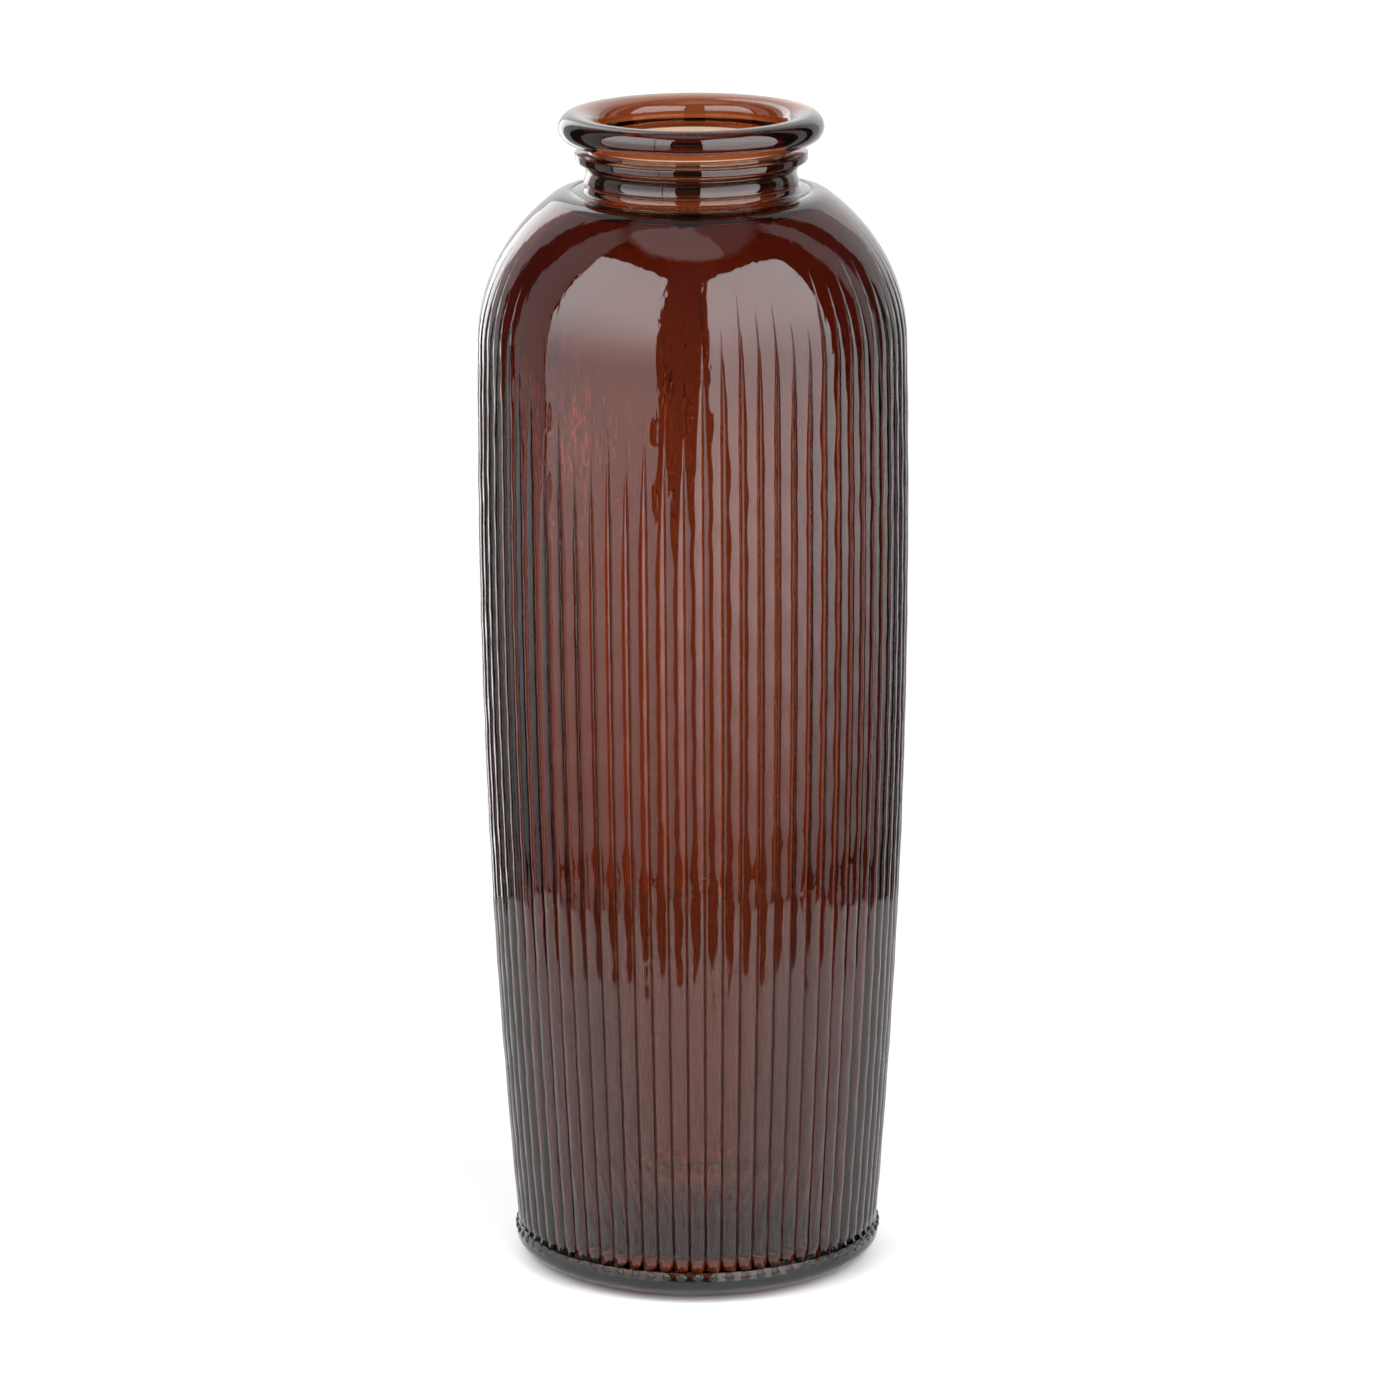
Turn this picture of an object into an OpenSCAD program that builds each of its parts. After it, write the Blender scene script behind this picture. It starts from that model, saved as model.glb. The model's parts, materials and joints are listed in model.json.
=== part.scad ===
// Tall ribbed glass vase: a barrel body that narrows to its heel, a smooth domed shoulder,
// and a short neck with a waisted band, a thin ring and a fat rolled lip.
// The glass is one vessel, so its members meet face to face and nothing moves.
// Millimetres. +Z is up, and the origin is the centre of the circle that the vase stands on.

/* [Overall] */
// Height from the standing surface to the crest of the lip
vase_h = 500; // [440:1:560]
// Widest diameter of the body, over the ribs
body_d = 183.2; // [176:0.2:196]
// Thickness of the wall
wall = 7; // [5:0.1:7.6]

/* [Body] */
// Radius of the long curve of the side
side_r = 3700; // [3000:50:5000]
// Height of the side above its widest point
side_above = 73.6; // [50:0.1:100]
// Radius of the shoulder's dome
dome_r = 77.5; // [75:0.1:79]
// Angle of the dome, where it rolls over towards the neck
dome_angle = 53.8; // [50:0.1:56]
// Radius of the roll at the top of the dome
crown_r = 12; // [10:0.5:14]

/* [Ribs] */
// Number of ribs, and of beads under them
rib_count = 72; // [36:1:90]
// Depth of the grooves between the ribs
rib_depth = 1.2; // [0.5:0.1:1.8]
// Width of the grooves
groove_w = 2.4; // [1:0.1:3]

/* [Neck] */
// Diameter of the throat
throat_d = 80; // [74:0.5:84]
// Diameter of the neck where it leaves the shoulder
root_d = 89.8; // [88:0.1:91]
// Diameter of the recesses above and below the ring
recess_d = 86.4; // [86:0.1:88]
// Diameter of the band at its two edges
band_d = 91.4; // [91:0.1:95]
// How far the waist of the band is drawn in
band_waist = 1.1; // [0.5:0.1:1.5]
// Diameter of the thin ring
ring_d = 98.4; // [96:0.1:104]
// Diameter of the lip
lip_d = 112; // [108:0.5:120]

/* [Neck heights] */
// Height of the plain neck under the band
root_h = 4.1; // [3:0.1:8]
// Height of the band
band_h = 7.1; // [6:0.1:10]
// Height of the recess between band and ring
recess_h = 1.7; // [1:0.1:3]
// Height of the ring
ring_h = 3.7; // [3:0.1:5]
// Height of the throat between ring and lip
throat_h = 4.2; // [2:0.1:8]
// Height of the lip
lip_h = 12.3; // [11:0.1:14]

/* [Heel and base] */
// Diameter of the heel
heel_d = 157.6; // [156:0.2:166]
// Radius of the heel's corner
heel_r = 5; // [3:0.5:6]
// Angle at which the corner runs into the underside
heel_angle = 52; // [45:1:60]
// Radius of the underside between the corner and the standing ring
underside_r = 26; // [18:1:30]
// Height of the joint between heel and beads
heel_h = 10.4; // [10:0.1:11]
// Height of the row of beads
bead_h = 3.8; // [3.4:0.1:4.4]
// Diameter of a bead
bead_d = 2.6; // [2:0.1:3]
// How far a bead stands out of the side
bead_out = 1.2; // [0.8:0.1:2]
// Diameter of the raised middle of the base
push_d = 108; // [90:1:112]
// Rise of the underside at its middle
push_h = 9; // [4:0.5:14]
// Thickness of the base
base_t = 6.6; // [5:0.1:8]

/* [Hidden] */
$fn = 180;

GLASS = [0.48, 0.2, 0.12];
GLASS_DEEP = [0.4, 0.16, 0.1];
GLASS_LIGHT = [0.6, 0.28, 0.15];

// heights of the joints, from the lip down
lip_z = vase_h - lip_h;
throat_z = lip_z - throat_h;
ring_z = throat_z - ring_h;
band_top = ring_z - recess_h;
band_z = band_top - band_h;
crown_z = band_z - root_h;

// the dome starts where the long side curve has its tangent
start_a = asin(side_above / side_r);
dome_rise = dome_r * (sin(dome_angle) - sin(start_a)) + crown_r * (1 - sin(dome_angle));
shoulder_z = crown_z - dome_rise;
belly_z = shoulder_z - side_above;
dome_c = [side_x(shoulder_z) - dome_r * cos(start_a), shoulder_z - dome_r * sin(start_a)];
crown_c = dome_c + (dome_r - crown_r) * [cos(dome_angle), sin(dome_angle)];

// the ribs fade out on the first of the dome, and the shoulder's joint is just above them
joint_z = shoulder_z + 14;
body_z = heel_h + bead_h;
throat_x = throat_d / 2;
root_x = root_d / 2;

cove_r = 2.5;
inner_cove_r = 5;
edge_r = 0.8;
mouth_r = 6.5;
roll_r = lip_h / 2;
push_r = (pow(push_d / 2, 2) + pow(push_h, 2)) / (2 * push_h);
floor_r = body_z - base_t;
side_steps = 6;

// radius of the outside at a height on the side
function side_x(z) = body_d / 2 - side_r + sqrt(pow(side_r, 2) - pow(z - belly_z, 2));

// points of an arc about c from angle a to angle b
function arc(c, r, a, b, n) = [for (i = [0:n]) c + r * [cos(a + (b - a) * i / n), sin(a + (b - a) * i / n)]];

// points down the side from z0 to z1, set in by t
function side(z0, z1, t) = [
    for (i = [0:side_steps])
        let (z = z0 + (z1 - z0) * i / side_steps)
        [side_x(z) - t, z]
];

// the underside, from the centre of the base out to the heel
function underside() = let (
    c = [heel_d / 2 - heel_r - (underside_r - heel_r) * cos(heel_angle), underside_r]
) concat(
    arc([0, push_h - push_r], push_r, 90, 90 - asin(push_d / 2 / push_r), 6),
    arc(c, underside_r, 270, 360 - heel_angle, 5),
    arc(c + (underside_r - heel_r) * [cos(heel_angle), -sin(heel_angle)], heel_r, 360 - heel_angle, 360, 5)
);

// the outside of the body and shoulder, from the heel up to the neck
function outside() = concat(
    [[heel_d / 2, heel_h]],
    side(body_z, shoulder_z, 0),
    arc(dome_c, dome_r, start_a, dome_angle, 16),
    arc(crown_c, crown_r, dome_angle, 90, 5),
    arc([root_x + cove_r, crown_z + cove_r], cove_r, 270, 180, 4)
);

// the outside of the neck, from the shoulder up to the crest of the lip and into the mouth
function neck() = let (
    half = band_h / 2,
    waist_r = (pow(half, 2) + pow(band_waist, 2)) / (2 * band_waist),
    waist_a = asin(half / waist_r),
    waist_c = [band_d / 2 - band_waist + waist_r, band_z + half],
    ring_x = ring_d / 2 - edge_r
) concat(
    [[root_x, band_z]],
    arc(waist_c, waist_r, 180 + waist_a, 180 - waist_a, 8),
    [[recess_d / 2, band_top], [recess_d / 2, ring_z]],
    arc([ring_x, ring_z + edge_r], edge_r, 270, 360, 3),
    arc([ring_x, throat_z - edge_r], edge_r, 0, 90, 3),
    [[recess_d / 2, throat_z], [recess_d / 2, lip_z]],
    arc([lip_d / 2 - roll_r, lip_z + roll_r], roll_r, -90, 90, 16),
    arc([throat_x + mouth_r, vase_h - mouth_r], mouth_r, 90, 180, 6)
);

// the inside, from the throat down to the middle of the floor
function inside() = concat(
    arc([throat_x + inner_cove_r, crown_z - wall + inner_cove_r], inner_cove_r, 180, 270, 5),
    arc(crown_c, crown_r - wall, 90, dome_angle, 4),
    arc(dome_c, dome_r - wall, dome_angle, start_a, 14),
    side(shoulder_z, body_z, wall),
    arc([side_x(body_z) - wall - floor_r, body_z], floor_r, 0, -90, 6),
    arc([0, push_h - push_r], push_r + base_t, 90 - asin(push_d / 2 / (push_r + base_t)), 90, 6)
);

// half of the vessel's section, for x from x0 to x1 and for heights from z0 to z1
module section(z0, z1, x0 = 0, x1 = body_d) {
    intersection() {
        polygon(concat(underside(), outside(), neck(), inside()));
        translate([x0, z0])
            square([x1 - x0, z1 - z0]);
    }
}

// the member of the vessel between two heights
module member(z0, z1, x0 = 0, x1 = body_d) {
    rotate_extrude()
        section(z0, z1, x0, x1);
}

// a slot that follows the side, and runs out where the dome curves away above it
module groove() {
    reach = 10;
    floor_line = side(body_z - 1, shoulder_z, rib_depth);
    top_x = side_x(shoulder_z) - rib_depth;
    outline = concat(floor_line, [[top_x, joint_z + 1], [top_x + reach, joint_z + 1], [top_x + reach, body_z - 1]]);
    translate([0, groove_w / 2, 0])
        rotate([90, 0, 0])
            linear_extrude(groove_w)
                polygon(outline);
}

// fat lip, rolled outwards
module lip() {
    color(GLASS)
        member(lip_z, vase_h);
}

// short bare throat between the lip and the ring
module throat() {
    color(GLASS_LIGHT)
        member(throat_z, lip_z);
}

// thin ring that stands out under the lip
module collar_ring() {
    color(GLASS)
        member(ring_z, throat_z);
}

// waisted band, with the recess above it
module collar_band() {
    color(GLASS_DEEP)
        member(band_z, ring_z);
}

// smooth dome and the root of the neck
module shoulder() {
    color(GLASS)
        member(joint_z, band_z);
}

// barrel of the body, with a groove between each rib and the next
module ribbed_body() {
    color(GLASS_DEEP)
        difference() {
            member(body_z, joint_z, push_d / 2);
            for (i = [0:rib_count - 1])
                rotate([0, 0, (i + 0.5) * 360 / rib_count])
                    groove();
        }
}

// band under the ribs, with one bead under each rib
module beaded_band() {
    color(GLASS_LIGHT)
        union() {
            member(heel_h, body_z, push_d / 2);
            for (i = [0:rib_count - 1])
                rotate([0, 0, i * 360 / rib_count])
                    translate([side_x(body_z) - bead_d / 2, 0, heel_h + bead_h / 2])
                        rotate([0, 90, 0])
                            cylinder(d = bead_d, h = bead_d / 2 + bead_out, $fn = 24);
        }
}

// rounded heel, with the ring that the vase stands on
module heel() {
    color(GLASS)
        member(0, heel_h, push_d / 2);
}

// raised middle of the base
module base() {
    color(GLASS_DEEP)
        member(0, push_h + base_t + 1, 0, push_d / 2);
}

lip();
throat();
collar_ring();
collar_band();
shoulder();
ribbed_body();
beaded_band();
heel();
base();
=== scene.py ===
"""A tall ribbed glass vase on a pale floor, in soft studio light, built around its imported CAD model."""

import json
import math

import bmesh
import bpy
import numpy as np
from mathutils import Matrix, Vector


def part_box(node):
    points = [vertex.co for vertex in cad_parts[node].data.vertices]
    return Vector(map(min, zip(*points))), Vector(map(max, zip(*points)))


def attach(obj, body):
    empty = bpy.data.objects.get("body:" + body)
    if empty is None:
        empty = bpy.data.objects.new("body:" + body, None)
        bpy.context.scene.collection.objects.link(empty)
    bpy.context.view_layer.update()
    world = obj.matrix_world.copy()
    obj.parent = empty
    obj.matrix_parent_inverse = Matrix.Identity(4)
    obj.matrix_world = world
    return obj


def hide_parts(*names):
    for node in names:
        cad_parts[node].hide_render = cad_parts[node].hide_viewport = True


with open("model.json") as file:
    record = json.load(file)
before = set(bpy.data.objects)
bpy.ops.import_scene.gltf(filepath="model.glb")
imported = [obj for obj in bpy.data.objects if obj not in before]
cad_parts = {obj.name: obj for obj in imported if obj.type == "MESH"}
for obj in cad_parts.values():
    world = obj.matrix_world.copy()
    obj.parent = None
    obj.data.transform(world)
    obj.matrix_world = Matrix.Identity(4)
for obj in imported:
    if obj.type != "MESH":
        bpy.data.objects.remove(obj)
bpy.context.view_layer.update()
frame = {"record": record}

MM = 0.001

# the outline's driving sizes, in millimetres
WALL = 7.0
SIDE_R = 3700.0
SIDE_ABOVE = 73.6
DOME_R = 77.5
DOME_ANGLE = math.radians(53.8)
CROWN_R = 12.0
COVE_R = 2.5
INNER_COVE_R = 5.0
RIBS = 72
RIB_DEPTH = 1.65
REED_DEPTH = 1.2  # share of it that a rib's round face falls, before the narrow slot between two ribs
RIB_EDGE = math.sin(math.radians(36))  # slope of the round face at its edge
SLOT_FROM = 0.84
BEAD_R = 1.35
BEAD_OUT = 1.15
HEEL_R = 5.0
HEEL_ANGLE = math.radians(52)
UNDERSIDE_R = 26.0
PUSH_H = 9.0
BASE_T = 6.6
GAP = 0.03  # half of the air between two members
JOINT_R = 50.0  # where the neck's piece ends in the flat of the shoulder
BAND_WAIST = 1.1
RING_EDGE = 0.9
MOUTH_FALL = 6.5  # from the crest of the lip to the bore
SHOULDER_EXTRA, SHOULDER_FROM, SHOULDER_SPREAD = 1.1, 395.0, 14.0  # thicker glass above a height
FOOT_EXTRA, FOOT_BELOW, FOOT_SPREAD = 0.5, 45.0, 12.0  # and below one
RIPPLE = 0.1
RIPPLE_LONG, RIPPLE_SHORT = 31.0, 19.0  # wavelengths of the unevenness along a rib
TIP_HIGH = 436.0  # height of the highest tips of the grooves, before their own differences
TIP_RUN = 72.0  # length over which a groove gets its full depth
TIP_JITTER = 11.0
BODY_BACK = 0.2  # how far the body's uneven skin is held inside the outline
SEAM_ANGLE = math.radians(-16)  # where the mould's halves met, from the front

rng = np.random.RandomState(11)
RIPPLE_PHASES = rng.uniform(0, 2 * math.pi, RIBS)


def node_mm(node):
    """Outer radius, lowest and highest point of a CAD node, in millimetres."""
    low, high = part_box(node)
    return high.x / MM, low.z / MM, high.z / MM


LIP_R, LIP_Z, TOP_Z = node_mm("lip")
RECESS_R, THROAT_Z, _ = node_mm("throat")
RING_R, RING_Z, _ = node_mm("collar_ring")
BAND_R, BAND_Z, _ = node_mm("collar_band")
BODY_R, BODY_Z, _ = node_mm("ribbed_body")
BEAD_TOP_R, BEAD_Z, _ = node_mm("beaded_band")
HEEL_OUT_R = node_mm("heel")[0]
PUSH_R = node_mm("base")[0]
BORE_R = next(m for m in frame["record"]["mounts"] if m["name"] == "mouth")["dims"]["r_mm"]
ROOT_R = 44.9
ROOT_H = 4.1
BAND_H = 7.1
CROWN_Z = BAND_Z - ROOT_H

START_A = math.asin(SIDE_ABOVE / SIDE_R)
DOME_RISE = DOME_R * (math.sin(DOME_ANGLE) - math.sin(START_A)) + CROWN_R * (1 - math.sin(DOME_ANGLE))
SHOULDER_Z = CROWN_Z - DOME_RISE
BELLY_Z = SHOULDER_Z - SIDE_ABOVE


def side_x(z):
    """Radius of the outside at a height on the side."""
    return BODY_R - SIDE_R + np.sqrt(SIDE_R**2 - (np.asarray(z, float) - BELLY_Z) ** 2)


def wall_at(z):
    """Thickness of the wall at a height: the glass is thickest at the shoulder and towards the foot."""
    z = np.asarray(z, float)
    at_shoulder = SHOULDER_EXTRA / (1 + np.exp(-(z - SHOULDER_FROM) / SHOULDER_SPREAD))
    at_foot = FOOT_EXTRA / (1 + np.exp((z - FOOT_BELOW) / FOOT_SPREAD))
    return WALL + at_shoulder + at_foot


TOP_IN = CROWN_Z - float(wall_at(CROWN_Z))  # underside of the shoulder's flat
DOME_C = (
    float(side_x(SHOULDER_Z)) - DOME_R * math.cos(START_A),
    SHOULDER_Z - DOME_R * math.sin(START_A),
)
CROWN_C = (
    DOME_C[0] + (DOME_R - CROWN_R) * math.cos(DOME_ANGLE),
    DOME_C[1] + (DOME_R - CROWN_R) * math.sin(DOME_ANGLE),
)


def arc(c, r, a, b, n, squash=1.0):
    """n + 1 points of an arc about c from angle a to b, with its height times squash."""
    return [
        (c[0] + r * math.cos(a + (b - a) * i / n), c[1] + r * squash * math.sin(a + (b - a) * i / n))
        for i in range(n + 1)
    ]


def side(heights):
    """Points of the outside of the body at some heights."""
    return [(float(side_x(z)), float(z)) for z in heights]


# ---------------------------------------------------------------- lathe work


class Lathe:
    """Rings of points about the axis, joined into one closed mesh. Angle 0 faces the viewer."""

    def __init__(self, name):
        self.name = name
        self.verts = []
        self.faces = []

    def ring(self, angles, radii, height):
        start = len(self.verts)
        radii = np.broadcast_to(radii, angles.shape)
        height = np.broadcast_to(height, angles.shape)
        self.verts.extend(zip(radii * np.sin(angles), -radii * np.cos(angles), height))
        return np.arange(start, start + len(angles))

    def pole(self, height):
        self.verts.append((0.0, 0.0, height))
        return len(self.verts) - 1

    def join(self, a, b):
        """Quads between rings of one count, or one face for each step of the coarser ring."""
        if len(a) == len(b):
            a2, b2 = np.roll(a, -1), np.roll(b, -1)
            self.faces.extend(np.stack([a, a2, b2, b], 1).tolist())
            return
        flip = len(a) < len(b)
        fine, coarse = (b, a) if flip else (a, b)
        step = len(fine) // len(coarse)
        closed = np.append(fine, fine[0])
        for i in range(len(coarse)):
            near = closed[i * step : (i + 1) * step + 1].tolist()
            far = [int(coarse[(i + 1) % len(coarse)]), int(coarse[i])]
            face = near + far
            self.faces.append(face[::-1] if flip else face)

    def cap(self, ring, pole, outward):
        pairs = zip(ring.tolist(), np.roll(ring, -1).tolist())
        self.faces.extend([(a, b, pole) if outward else (b, a, pole) for a, b in pairs])

    def chain(self, rings, closed=True):
        for a, b in zip(rings, rings[1:]):
            self.join(a, b)
        if closed:
            self.join(rings[-1], rings[0])

    def finish(self):
        mesh = bpy.data.meshes.new(self.name)
        mesh.from_pydata((np.array(self.verts) * MM).tolist(), [], self.faces)
        work = bmesh.new()
        work.from_mesh(mesh)
        bmesh.ops.recalc_face_normals(work, faces=work.faces)
        work.to_mesh(mesh)
        work.free()
        mesh.shade_smooth()
        obj = bpy.data.objects.new(self.name, mesh)
        bpy.context.scene.collection.objects.link(obj)
        return obj


def waves(angles, z, size, seed, around=6, up=0.03, count=7):
    """Slow, smooth unevenness of the glass over the angle and the height, in millimetres."""
    r = np.random.RandomState(seed)
    total = np.zeros(np.broadcast(angles, z).shape)
    for _ in range(count):
        turns = r.randint(1, around + 1)
        strength = r.uniform(0.4, 1)
        lean = r.uniform(-up, up)
        phase = r.uniform(0, 2 * math.pi)
        total = total + strength * np.sin(turns * angles + lean * z + phase)
    return size * total / count


def near_seam(angles, radius):
    """Distance around the wall to the nearer of the two mould seams, in millimetres."""
    d = np.abs((angles - SEAM_ANGLE + math.pi / 2) % math.pi - math.pi / 2)
    return d * radius


def seam_lift(angles, radius, height=0.14, width=0.22):
    """Fine ridge that the mould left where its halves met, in millimetres."""
    return height * np.exp(-((near_seam(angles, radius) / width) ** 2))


def neck_angles(radius, count=240):
    """Even steps around the neck, with extra ones at the two seams."""
    even = np.arange(count) * 2 * math.pi / count
    near = np.array([-0.5, -0.3, -0.15, 0.0, 0.15, 0.3, 0.5]) / radius
    extra = np.concatenate([SEAM_ANGLE + near, SEAM_ANGLE + math.pi + near]) % (2 * math.pi)
    keep = np.min(np.abs(even[:, None] - extra[None, :]), 1) > 0.12 / radius
    return np.sort(np.concatenate([even[keep], extra]))


def neck_outline():
    """Section of the neck: up the outside from the joint in the shoulder, over the lip, down the bore."""
    up, down, back = math.pi / 2, -math.pi / 2, math.pi
    band_top = BAND_Z + BAND_H
    half = BAND_H / 2
    waist_r = (half**2 + BAND_WAIST**2) / (2 * BAND_WAIST)
    waist_a = math.asin(half / waist_r) * 0.93
    band_c = (BAND_R - 0.1 - BAND_WAIST + waist_r, BAND_Z + half)
    ring_x = RING_R - 0.15 - RING_EDGE
    roll = (TOP_Z - LIP_Z) / 2
    lip_c = (LIP_R - 0.15 - roll, LIP_Z + roll)
    mouth_c = (lip_c[0], TOP_Z - MOUTH_FALL)
    mouth_r = lip_c[0] - BORE_R

    rows = [(JOINT_R - GAP, TOP_IN), (JOINT_R - GAP, CROWN_Z)]
    rows += arc((ROOT_R + COVE_R, CROWN_Z + COVE_R), COVE_R, 3 * up, back, 6)
    rows += [(ROOT_R, BAND_Z - 0.4), (ROOT_R + 0.3, BAND_Z - 0.1)]
    rows += arc(band_c, waist_r, back + waist_a, back - waist_a, 12)
    rows += [(RECESS_R + 0.5, band_top), (RECESS_R, band_top + 0.4)]
    rows += [(RECESS_R, RING_Z - 0.4), (RECESS_R + 0.5, RING_Z)]
    rows += arc((ring_x, RING_Z + RING_EDGE), RING_EDGE, down, 0, 5)
    rows += arc((ring_x, THROAT_Z - RING_EDGE), RING_EDGE, 0, up, 5)
    rows += [(RECESS_R + 0.5, THROAT_Z), (RECESS_R, THROAT_Z + 0.5)]
    rows += arc(lip_c, roll, down - 0.6, 0, 14)
    rows += arc(lip_c, roll, 0, up, 14)[1:]
    rows += arc(mouth_c, mouth_r, up, back, 12, MOUTH_FALL / mouth_r)[1:]
    rows += [(BORE_R, LIP_Z), (BORE_R, RING_Z), (BORE_R, BAND_Z)]
    rows += arc((BORE_R + INNER_COVE_R, TOP_IN + INNER_COVE_R), INNER_COVE_R, back, 3 * up, 6)
    return rows


def neck_piece():
    """Lip, throat, ring and band in one ring of glass, slightly uneven, with a fine seam outside."""
    angles = neck_angles(45.0)
    lathe = Lathe("neck_glass")
    rings = []
    for r, z in neck_outline():
        fade = np.clip((z - CROWN_Z) / 3, 0, 1)
        radii = r + waves(angles, z, 0.12, 5, around=4) * fade
        if r > BORE_R + 0.5:
            radii = radii + seam_lift(angles, r) * fade
        rings.append(lathe.ring(angles, np.minimum(radii, LIP_R), z))
    lathe.chain(rings)
    return lathe.finish()


# ---------------------------------------------------------------- the glass


def tip_height(angles, jitter):
    """Height at which each groove starts, lowest at the front left, where the glass met the mould last."""
    deg = (np.degrees(angles) + 180) % 360 - 180
    dip = 60 * np.exp(-(((deg + 24) / 28) ** 6)) + 34 * np.exp(-(((np.abs(deg) - 150) / 35) ** 2))
    rise = 14 / (1 + np.exp(-(deg - 52) / 7))
    return TIP_HIGH - dip + rise + jitter


def groove_depth(z, tips):
    """Depth of a groove at a height: it deepens from its pointed tip down."""
    run = np.clip((tips - z) / TIP_RUN, 0, 1)
    return RIB_DEPTH * (1 - (1 - run) ** 2)


def reed(across):
    """Fall of a rib's face from its crest: round, and then steeper into the narrow slot at its edge."""
    face = (1 - np.sqrt(1 - (RIB_EDGE * across) ** 2)) / (1 - math.sqrt(1 - RIB_EDGE**2))
    slot = np.clip((np.abs(across) - SLOT_FROM) / (1 - SLOT_FROM), 0, 1) ** 1.5
    return REED_DEPTH * face + (RIB_DEPTH - REED_DEPTH) * slot


def mirrored(steps):
    """Steps across a rib, from its left edge, over its crest, to the last before the next rib."""
    return np.array([-1, *[-step for step in steps], 0, *reversed(steps)])


RIB_STEPS = mirrored((0.965, 0.91, 0.84, 0.6, 0.3))
BEAD_STEPS = mirrored((0.7, 0.42, 0.34, 0.25, 0.17, 0.08))


def rib_angles(steps):
    """Angles of every rib's own steps around the vase, and each one's place across its rib."""
    pitch = 2 * math.pi / RIBS
    angles = (np.arange(RIBS)[:, None] * pitch + steps[None, :] * pitch / 2).ravel()
    return angles, np.tile(steps, RIBS)


def rib_ripple(z, ribs):
    """Small unevenness along each rib, of its own for each, which makes reflections end raggedly."""
    phase = RIPPLE_PHASES[ribs]
    first = np.sin(2 * math.pi * z / RIPPLE_LONG + phase)
    second = np.sin(2 * math.pi * z / RIPPLE_SHORT + 2.3 * phase)
    return RIPPLE * (first + 0.6 * second)


def body_outside(lathe):
    """Rings of the outside of the body and shoulder, from the beads up to the neck's piece."""
    angles, across = rib_angles(RIB_STEPS)
    groove = np.floor(angles / (2 * math.pi / RIBS) + 1e-6).astype(int) % RIBS
    jitter = rng.uniform(-TIP_JITTER, TIP_JITTER, RIBS)[groove]
    tips = tip_height(angles, jitter)
    fade_from = 330
    rows = side(np.linspace(BODY_Z + GAP, fade_from, 44))
    rows += side(np.linspace(fade_from + 4, SHOULDER_Z - 1, 20))
    rows += arc(DOME_C, DOME_R, START_A, DOME_ANGLE, 26)
    rows += arc(CROWN_C, CROWN_R, DOME_ANGLE, math.pi / 2, 6)[1:]
    rows += [(JOINT_R + GAP, CROWN_Z)]
    rings = []
    for r, z in rows:
        depth = groove_depth(z, tips)
        cut = np.maximum(0, reed(across) - (RIB_DEPTH - depth))
        ripple = rib_ripple(z, groove) * np.clip((SHOULDER_Z + 10 - z) / 30, 0, 1)
        uneven = waves(angles, z, 0.1, 21) + ripple - BODY_BACK
        fade = np.clip((CROWN_Z - z) / 12, 0, 1) * np.clip((z - BODY_Z) / 8, 0, 1)
        rings.append(lathe.ring(angles, np.minimum(r - cut + uneven * fade, BODY_R), z))
    return rings


def body_inside(lathe):
    """Rings of the inside of the body and shoulder, from the neck's piece down to the beads."""
    angles = rib_angles(RIB_STEPS)[0][::4]
    thick = float(wall_at(CROWN_Z))
    rows = [(JOINT_R + GAP, TOP_IN)]
    rows += arc(CROWN_C, CROWN_R - thick, math.pi / 2, DOME_ANGLE, 5)
    rows += arc(DOME_C, DOME_R - thick, DOME_ANGLE, START_A, 16)[1:]
    for z in np.linspace(SHOULDER_Z - 8, BODY_Z + GAP, 44):
        rows.append((float(side_x(z) - wall_at(z)), float(z)))
    rings = []
    for r, z in rows:
        fade = np.clip((TOP_IN - z) / 20, 0, 1) * np.clip((z - BODY_Z) / 20, 0, 1)
        uneven = waves(angles, z, 0.5, 31, around=9, up=0.05, count=11)
        rings.append(lathe.ring(angles, r + uneven * fade, z))
    return rings


def body_piece():
    """The ribbed body and the shoulder."""
    lathe = Lathe("body_glass")
    outer = body_outside(lathe)
    inner = body_inside(lathe)
    lathe.chain(outer + inner)
    return lathe.finish()


PUSH_CURVE = (PUSH_R**2 + PUSH_H**2) / (2 * PUSH_H)  # radius of the raised middle of the underside
FOOT_TOP_R = float(side_x(BODY_Z))


def foot_outside(lathe):
    """Rings of the outside of the foot, from the edge of the raised middle up over the beads."""
    angles, across = rib_angles(BEAD_STEPS)
    around = across * math.pi / RIBS * FOOT_TOP_R
    bead_mid = (BEAD_Z + BODY_Z) / 2
    low, level = 1.5 * math.pi, 2 * math.pi
    out = (UNDERSIDE_R - HEEL_R) * math.cos(HEEL_ANGLE)
    under_c = (HEEL_OUT_R - HEEL_R - out, UNDERSIDE_R)
    heel_c = (under_c[0] + out, under_c[1] - (UNDERSIDE_R - HEEL_R) * math.sin(HEEL_ANGLE))
    rows = arc(under_c, UNDERSIDE_R, low, level - HEEL_ANGLE, 6)
    rows += arc(heel_c, HEEL_R, level - HEEL_ANGLE, level, 7)[1:]
    for z in np.linspace(BEAD_Z - 0.2, BODY_Z - GAP, 15):
        share = max(0, (z - BEAD_Z) / (BODY_Z - BEAD_Z))
        rows.append((HEEL_OUT_R + (FOOT_TOP_R - HEEL_OUT_R) * share, z))
    rings = []
    for r, z in rows:
        off = np.sqrt(around**2 + (z - bead_mid) ** 2) / BEAD_R
        bead = BEAD_OUT * np.sqrt(np.clip(1 - off**2, 0, 1))
        rings.append(lathe.ring(angles, np.minimum(r + bead, BEAD_TOP_R), z))
    return rings


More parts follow.
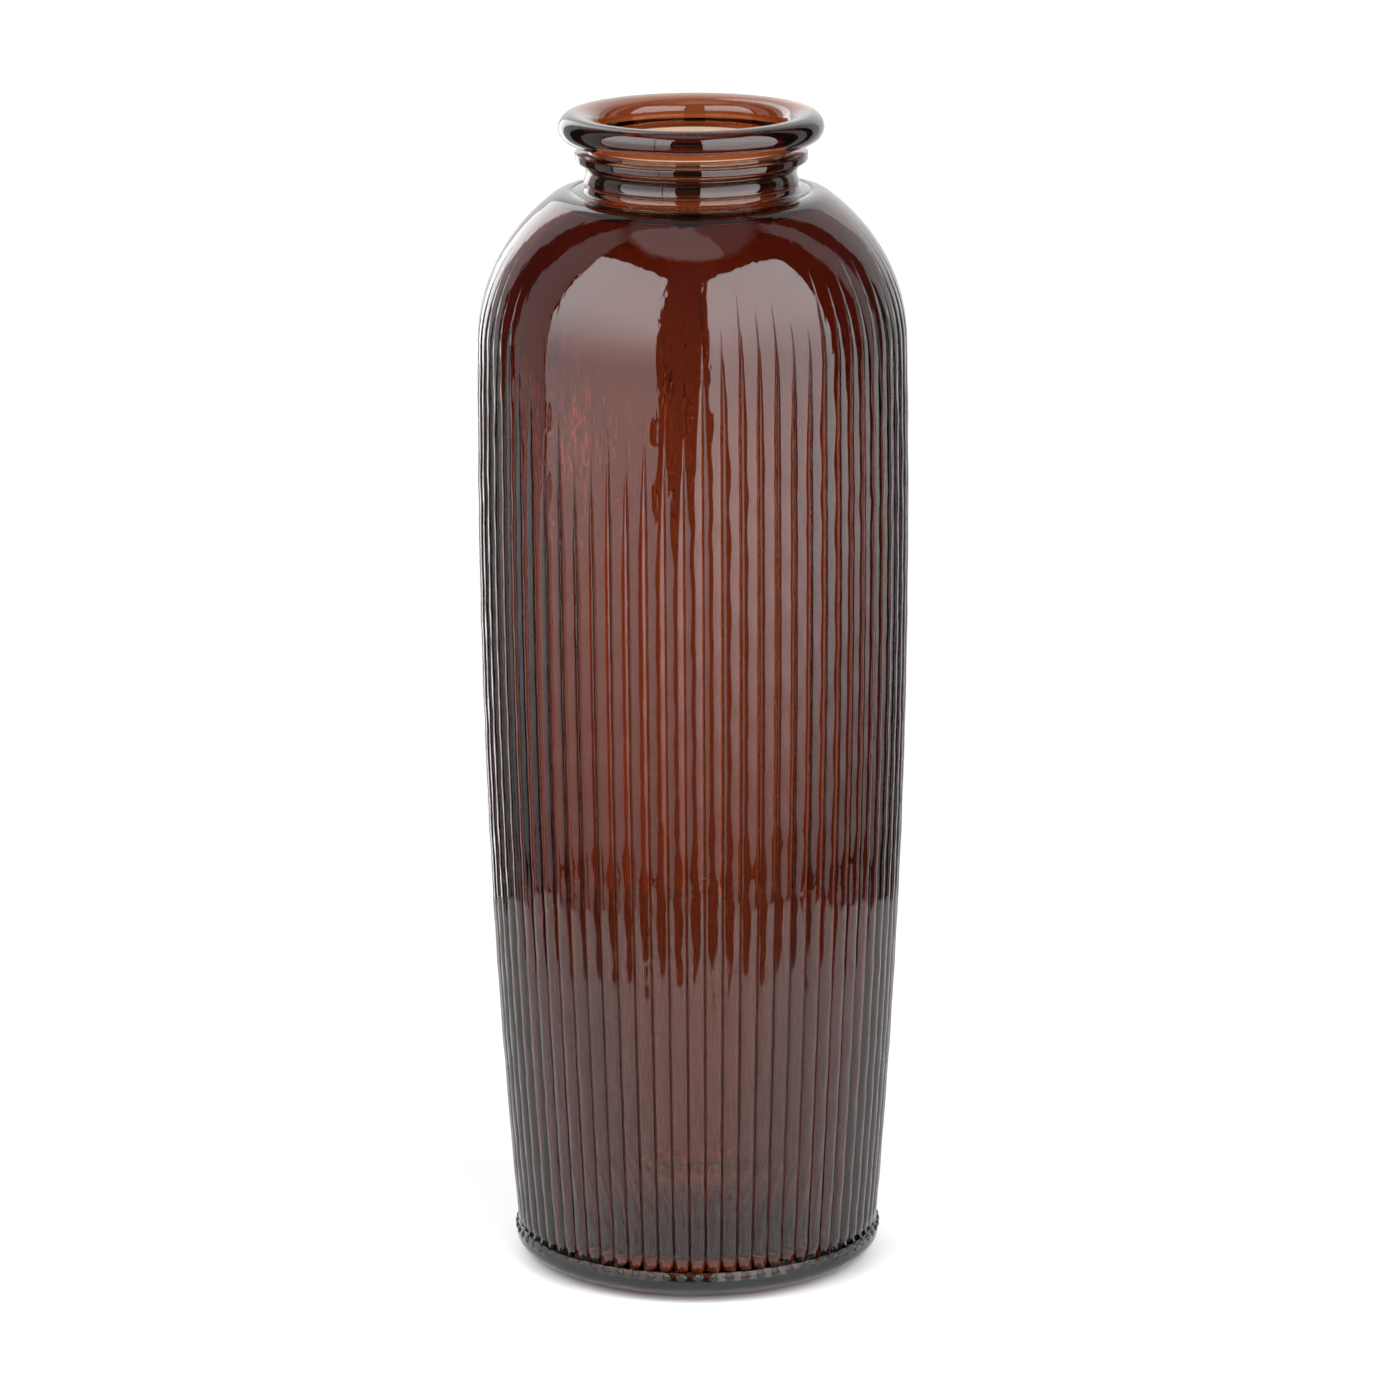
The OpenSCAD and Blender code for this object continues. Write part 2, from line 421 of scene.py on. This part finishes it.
def foot_inside(lathe, angles):
    """Rings of the inside of the foot, from the wall down and in to near its middle."""
    floor_r = BODY_Z - BASE_T
    floor_c = (FOOT_TOP_R - float(wall_at(BODY_Z)) - floor_r, BODY_Z)
    top_r = PUSH_CURVE + BASE_T
    edge_a = math.pi / 2 - math.asin(PUSH_R / top_r)
    rows = arc(floor_c, floor_r, 0, -math.pi / 2, 9)
    rows[0] = (rows[0][0], BODY_Z - GAP)
    rows += arc((0, PUSH_H - PUSH_CURVE), top_r, edge_a, math.pi / 2, 9)[:-1]
    rings = []
    for r, z in rows:
        fade = np.clip((BODY_Z - z) / 4, 0, 1)
        rings.append(lathe.ring(angles, r + waves(angles, z, 0.25, 41, around=8) * fade, z))
    return rings


def foot_piece():
    """The beads, the heel and the base with its raised middle."""
    lathe = Lathe("foot_glass")
    outer = foot_outside(lathe)
    lathe.chain(outer, closed=False)

    angles = rib_angles(BEAD_STEPS)[0][::7]
    inner = foot_inside(lathe, angles)
    lathe.join(outer[-1], inner[0])
    lathe.chain(inner, closed=False)
    lathe.cap(inner[-1], lathe.pole(PUSH_H + BASE_T), True)

    edge_a = math.pi / 2 - math.asin(PUSH_R / PUSH_CURVE)
    rows = arc((0, PUSH_H - PUSH_CURVE), PUSH_CURVE, math.pi / 2, edge_a, 9)[1:]
    under = [lathe.ring(angles, r, z) for r, z in rows]
    lathe.cap(under[0], lathe.pole(PUSH_H), False)
    lathe.chain(under, closed=False)
    lathe.join(under[-1], outer[0])
    return lathe.finish()


# ---------------------------------------------------------------- the finish

ABSORB_DENSITY = 5000.0
ABSORB_COLOUR = (0.968, 0.939, 0.913, 1.0)
PALE, DEEP = (1.0, 0.985, 0.97, 1.0), (0.97, 0.93, 0.9, 1.0)  # the skin's tint varies between them
DRAWN = (1.0, 1.0, 0.35)  # waves and ripples are drawn out upwards
# painted shade: darker colour between the ribs of the lower body
RIB_SHADE_COLOUR = (0.44, 0.4, 0.38, 1.0)
# painted shade: near-black colour in the beads
BEAD_SHADE_COLOUR = (0.12, 0.1, 0.1, 1.0)
# painted shade: darker colour in the collar's band and ring
BAND_SHADE_COLOUR = (0.16, 0.14, 0.14, 1.0)
RING_SHADE_COLOUR = (0.45, 0.35, 0.3, 1.0)


def link_range(tree, source, low, high, at_low, at_high, smooth=True):
    """Output that goes from one value to another as its source goes from low to high."""
    node = tree.nodes.new("ShaderNodeMapRange")
    node.interpolation_type = "SMOOTHSTEP" if smooth else "LINEAR"
    for key, value in (("From Min", low), ("From Max", high), ("To Min", at_low), ("To Max", at_high)):
        node.inputs[key].default_value = value
    tree.links.new(source, node.inputs["Value"])
    return node.outputs["Result"]


def link_math(tree, kind, *sources):
    node = tree.nodes.new("ShaderNodeMath")
    node.operation = kind
    for socket, source in zip(node.inputs, sources):
        if isinstance(source, (int, float)):
            socket.default_value = source
        else:
            tree.links.new(source, socket)
    return node.outputs[0]


def link_mix(tree, amount, one, other, blend="MIX"):
    """Colour between one and another: each is a plain colour or an output."""
    mix = tree.nodes.new("ShaderNodeMix")
    mix.data_type = "RGBA"
    mix.blend_type = blend
    factor, a, b = mix.inputs[0], mix.inputs[6], mix.inputs[7]
    tree.links.new(amount, factor)
    for socket, source in ((a, one), (b, other)):
        if isinstance(source, tuple):
            socket.default_value = source
        else:
            tree.links.new(source, socket)
    return mix.outputs[2]


def over_ribs(tree, place_in_glass, at_zero, at_one):
    """A value that goes from 0 to 1 as the cosine across each rib does, and the height, in metres."""
    split = tree.nodes.new("ShaderNodeSeparateXYZ")
    tree.links.new(place_in_glass, split.inputs[0])
    x, y, z = split.outputs
    angle = link_math(tree, "ARCTAN2", x, link_math(tree, "MULTIPLY", y, -1.0))
    rib = link_math(tree, "COSINE", link_math(tree, "MULTIPLY", angle, RIBS))
    return link_range(tree, rib, at_zero, at_one, 0.0, 1.0), z


def rib_painted_shade(tree, place_in_glass, tint):
    """Painted shade: darker colour between the ribs of the lower body."""
    between, z = over_ribs(tree, place_in_glass, 0.7, -1.0)
    amount = link_math(tree, "MULTIPLY", between, link_range(tree, z, 0.1, 0.21, 1.0, 0.0))
    return link_mix(tree, amount, tint, RIB_SHADE_COLOUR, "MULTIPLY")


def bead_painted_shade(tree, place_in_glass, tint):
    """Painted shade: darker colour in the beads."""
    on_bead, z = over_ribs(tree, place_in_glass, -0.3, 0.3)
    above = link_range(tree, z, (BEAD_Z - 0.3) * MM, (BEAD_Z + 0.5) * MM, 0.0, 1.0)
    amount = link_math(tree, "MULTIPLY", on_bead, above)
    return link_mix(tree, amount, tint, BEAD_SHADE_COLOUR, "MULTIPLY")


def collar_painted_shade(tree, place_in_glass, tint):
    """Painted shade: darker colour in the band and the ring of the collar."""
    split = tree.nodes.new("ShaderNodeSeparateXYZ")
    tree.links.new(place_in_glass, split.inputs[0])
    z = split.outputs[2]
    soft = 0.0003
    bands = ((BAND_Z, BAND_Z + BAND_H, BAND_SHADE_COLOUR), (RING_Z, THROAT_Z, RING_SHADE_COLOUR))
    for low, high, colour in bands:
        above = link_range(tree, z, low * MM - soft, low * MM + soft, 0.0, 1.0)
        below = link_range(tree, z, high * MM - soft, high * MM + soft, 1.0, 0.0)
        inside = link_math(tree, "MULTIPLY", above, below)
        tint = link_mix(tree, inside, tint, colour, "MULTIPLY")
    return tint


def texture(tree, kind, vector, scale, detail=None):
    node = tree.nodes.new(kind)
    node.inputs["Scale"].default_value = scale
    if detail is not None:
        node.inputs["Detail"].default_value = detail
    tree.links.new(vector, node.inputs["Vector"])
    return node


def bumped(tree, *layers):
    """Normal of a skin with one bump over another. A layer is a height, a strength and a distance."""
    normal = None
    for height, strength, distance in layers:
        bump = tree.nodes.new("ShaderNodeBump")
        bump.inputs["Strength"].default_value = strength
        bump.inputs["Distance"].default_value = distance
        tree.links.new(height, bump.inputs["Height"])
        if normal is not None:
            tree.links.new(normal, bump.inputs["Normal"])
        normal = bump.outputs["Normal"]
    return normal


def glass(name, density=ABSORB_DENSITY, ripple=0.4, paint_shade=None):
    """Amber-brown glass: its colour is in its depth, with painted shade added to its skin's colour by the
    given function, and its skin has slow waves, fine ripples and seeds.
    """
    mat = bpy.data.materials.new(name)
    mat.use_nodes = True
    tree = mat.node_tree
    nodes, links = tree.nodes, tree.links
    nodes.clear()
    out = nodes.new("ShaderNodeOutputMaterial")
    skin = nodes.new("ShaderNodeBsdfPrincipled")
    skin.inputs["IOR"].default_value = 1.5
    skin.inputs["Transmission Weight"].default_value = 1.0
    depth = nodes.new("ShaderNodeVolumeAbsorption")
    depth.inputs["Color"].default_value = ABSORB_COLOUR
    depth.inputs["Density"].default_value = density
    links.new(skin.outputs["BSDF"], out.inputs["Surface"])
    links.new(depth.outputs["Volume"], out.inputs["Volume"])

    coord = nodes.new("ShaderNodeTexCoord").outputs["Object"]
    stretch = nodes.new("ShaderNodeMapping")
    stretch.inputs["Scale"].default_value = DRAWN
    links.new(coord, stretch.inputs["Vector"])
    drawn = stretch.outputs["Vector"]
    slow = texture(tree, "ShaderNodeTexNoise", drawn, 40.0, 1.0).outputs["Fac"]
    fine = texture(tree, "ShaderNodeTexNoise", drawn, 260.0, 2.0).outputs["Fac"]
    cells = texture(tree, "ShaderNodeTexVoronoi", coord, 55.0).outputs["Distance"]
    seed = link_range(tree, cells, 0.02, 0.07, 1.0, 0.0, smooth=False)

    normal = bumped(tree, (slow, 0.12, 0.001), (fine, ripple, 0.0001), (seed, 0.35, 0.0001))
    links.new(normal, skin.inputs["Normal"])
    rough = link_range(tree, fine, 0.35, 0.7, 0.0, 0.05, smooth=False)
    links.new(rough, skin.inputs["Roughness"])
    tint = link_mix(tree, slow, PALE, DEEP)
    # painted shade: the given function darkens the skin's colour in some places
    if paint_shade is not None:
        tint = paint_shade(tree, coord, tint)
    links.new(tint, skin.inputs["Base Color"])
    return mat


def place(piece, slot, material, *nodes):
    """Give a piece its finish, say where it rides and hide the CAD parts that it takes the place of."""
    piece.data.materials.append(material)
    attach(piece, "root")
    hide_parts(*nodes)


# the collar, the lower ribs and the beads get painted shade in their skin's colour
neck_glass = glass("neck_glass_skin", 3200.0, ripple=0.25, paint_shade=collar_painted_shade)
body_glass = glass("body_glass_skin", ripple=0.8, paint_shade=rib_painted_shade)
foot_glass = glass("foot_glass_skin", 3400.0, paint_shade=bead_painted_shade)
place(neck_piece(), "glass_neck", neck_glass, "lip", "throat", "collar_ring", "collar_band")
place(body_piece(), "glass_body", body_glass, "shoulder", "ribbed_body")
place(foot_piece(), "glass_foot", foot_glass, "beaded_band", "heel", "base")


# ---------------------------------------------------------------- studio

FLOOR_R = 0.56
FLOOR_FRONT = 0.44  # from the vase's axis to the straight front edge
PANEL_FAR = 1.3  # from the vase's axis to each softbox
PANEL_LOW, PANEL_TOP = -0.28, 2.34
FLOOR_COLOUR = (0.82, 0.82, 0.82, 1)
SOFT_HIGH = 5.7  # radiance at the top of a softbox
BACKDROP = 1.15  # the white behind the vase
BACK_HIGH = 1.4  # its upper part
BACK_PANEL = 3.2  # a panel behind the vase on the left
CARD = 0.8  # the paler parts of the room at the sides
ROOM = 0.05
FRONT = 0.12
OVERHEAD = 1.3


def floor():
    """A pale table top under the vase, round with a straight front edge."""
    mesh = bpy.data.meshes.new("floor")
    steps = np.arange(96) * 2 * math.pi / 96
    ring = [(FLOOR_R * math.cos(a), max(FLOOR_R * math.sin(a), -FLOOR_FRONT), 0.0) for a in steps]
    mesh.from_pydata(ring, [], [list(range(len(ring)))])
    obj = bpy.data.objects.new("floor", mesh)
    bpy.context.scene.collection.objects.link(obj)
    mat = bpy.data.materials.new("floor_paint")
    mat.use_nodes = True
    skin = mat.node_tree.nodes["Principled BSDF"]
    skin.inputs["Base Color"].default_value = FLOOR_COLOUR
    skin.inputs["Roughness"].default_value = 0.6
    mesh.materials.append(mat)


def softbox(name, azimuth, half_angle, low, middle):
    """A tall panel of light round to one side of the camera, brighter towards its top."""
    lamp = bpy.data.lights.new(name, "AREA")
    lamp.shape = "RECTANGLE"
    lamp.size = 2 * PANEL_FAR * math.tan(math.radians(half_angle))
    lamp.size_y = PANEL_TOP - PANEL_LOW
    lamp.energy = math.pi * lamp.size * lamp.size_y
    lamp.use_nodes = True
    tree = lamp.node_tree
    place_on_panel = tree.nodes.new("ShaderNodeNewGeometry")
    split = tree.nodes.new("ShaderNodeSeparateXYZ")
    tree.links.new(place_on_panel.outputs["Parametric"], split.inputs[0])
    lower = link_range(tree, split.outputs[1], 0.0, 0.15, low, middle)
    upper = link_range(tree, split.outputs[1], 0.22, 0.55, 0.0, SOFT_HIGH - middle)
    strength = link_math(tree, "ADD", lower, upper)
    tree.links.new(strength, tree.nodes["Emission"].inputs["Strength"])
    obj = bpy.data.objects.new(name, lamp)
    bpy.context.scene.collection.objects.link(obj)
    a = math.radians(azimuth)
    obj.location = (PANEL_FAR * math.sin(a), -PANEL_FAR * math.cos(a), (PANEL_TOP + PANEL_LOW) / 2)
    obj.rotation_euler = (math.pi / 2, 0, a)
    obj.visible_camera = False


# azimuth from the front in degrees, and the light from there on, below and above the horizon
SURROUND = (
    (-180, BACKDROP, BACK_HIGH),
    (-162, BACK_PANEL, BACK_PANEL),
    (-145, CARD, CARD),
    (-128, ROOM, ROOM),
    (-111, CARD, CARD),
    (-86, ROOM, ROOM),
    (-20, FRONT, FRONT),
    (20, ROOM, ROOM),
    (104, CARD, CARD),
    (118, ROOM, ROOM),
    (128, CARD, CARD),
    (146, BACKDROP, BACK_HIGH),
)
OVER_FROM, OVER_TO = -100, 40  # azimuths that the overhead panel covers
OVER_REST = 0.35  # its light elsewhere, as a share
SEEN_WHITE = 1.05  # the plain white that the camera sees


def surround(tree, around, z):
    """The light of the walls, from the table of azimuths, mixed at the horizon and ending overhead."""
    strip = tree.nodes.new("ShaderNodeValToRGB")
    strip.color_ramp.interpolation = "CONSTANT"
    stops = strip.color_ramp.elements
    for i, (azimuth, low, high) in enumerate(SURROUND):
        where = (azimuth + 180) / 360
        stop = stops[i] if i < 1 else stops.new(where)
        stop.position = where
        stop.color = (low, high, 0, 1)
    while len(stops) > len(SURROUND):
        stops.remove(stops[-1])
    tree.links.new(around, strip.inputs[0])
    levels = tree.nodes.new("ShaderNodeSeparateColor")
    tree.links.new(strip.outputs[0], levels.inputs[0])
    horizon = (0.02, 0.16)
    below = link_math(tree, "MULTIPLY", levels.outputs[0], link_range(tree, z, *horizon, 1.0, 0.0))
    above = link_math(tree, "MULTIPLY", levels.outputs[1], link_range(tree, z, *horizon, 0.0, 1.0))
    both = link_math(tree, "ADD", below, above)
    return link_math(tree, "MULTIPLY", both, link_range(tree, z, 0.86, 0.93, 1.0, 0.0))


def overhead(tree, around, z):
    """The light of a panel overhead, which is dimmer outside its own azimuths."""
    high = link_range(tree, z, 0.9, 0.93, 0.0, OVERHEAD)
    after = link_math(tree, "GREATER_THAN", around, (OVER_FROM + 180) / 360)
    before = link_math(tree, "LESS_THAN", around, (OVER_TO + 180) / 360)
    span = link_math(tree, "MULTIPLY", after, before)
    return link_math(tree, "MULTIPLY", high, link_math(tree, "MAXIMUM", span, OVER_REST))


def studio_world():
    """A lit backdrop behind the vase, dim cards at the sides, a dark front and a panel overhead."""
    world = bpy.data.worlds.new("studio")
    bpy.context.scene.world = world
    world.use_nodes = True
    tree = world.node_tree
    nodes, links = tree.nodes, tree.links
    nodes.clear()
    coord = nodes.new("ShaderNodeTexCoord")
    split = nodes.new("ShaderNodeSeparateXYZ")
    links.new(coord.outputs["Generated"], split.inputs[0])
    x, y, z = split.outputs
    front = link_math(tree, "MULTIPLY", y, -1.0)
    turn = link_math(tree, "DIVIDE", link_math(tree, "ARCTAN2", x, front), 2 * math.pi)
    around = link_math(tree, "ADD", turn, 0.5)
    total = link_math(tree, "ADD", surround(tree, around, z), overhead(tree, around, z))

    seen = nodes.new("ShaderNodeLightPath")
    level = nodes.new("ShaderNodeMix")
    level.inputs["B"].default_value = SEEN_WHITE
    links.new(seen.outputs["Is Camera Ray"], level.inputs["Factor"])
    links.new(total, level.inputs["A"])
    sky = nodes.new("ShaderNodeBackground")
    sky.inputs["Color"].default_value = (1, 1, 1, 1)
    links.new(level.outputs["Result"], sky.inputs["Strength"])
    out = nodes.new("ShaderNodeOutputWorld")
    links.new(sky.outputs["Background"], out.inputs["Surface"])


floor()
softbox("softbox_left", -50, 32, 1.1, 2.2)
softbox("softbox_right", 43.5, 34.5, 1.3, 3.9)
studio_world()


# ---------------------------------------------------------------- camera

FRAME_PX = 1389
FOCAL_PX = 6514.8
SENSOR = 36.0
CAMERA_BACK = 2.7
CAMERA_UP = 0.9385
PITCH = math.radians(14.338)
ROLL = math.radians(-0.329)

cam_data = bpy.data.cameras.new("camera")
cam_data.sensor_width = SENSOR
cam_data.lens = FOCAL_PX / FRAME_PX * SENSOR
camera = bpy.data.objects.new("camera", cam_data)
bpy.context.scene.collection.objects.link(camera)
turn = Matrix.Rotation(math.pi / 2 - PITCH, 4, "X") @ Matrix.Rotation(ROLL, 4, "Z")
camera.matrix_world = Matrix.Translation((0, -CAMERA_BACK, CAMERA_UP)) @ turn
bpy.context.scene.camera = camera

scene = bpy.context.scene
scene.view_settings.view_transform = "Standard"
scene.cycles.max_bounces = 32
scene.cycles.transmission_bounces = 32
scene.cycles.glossy_bounces = 8
scene.cycles.transparent_max_bounces = 16
scene.cycles.sample_clamp_indirect = 10
scene.cycles.use_denoising = True
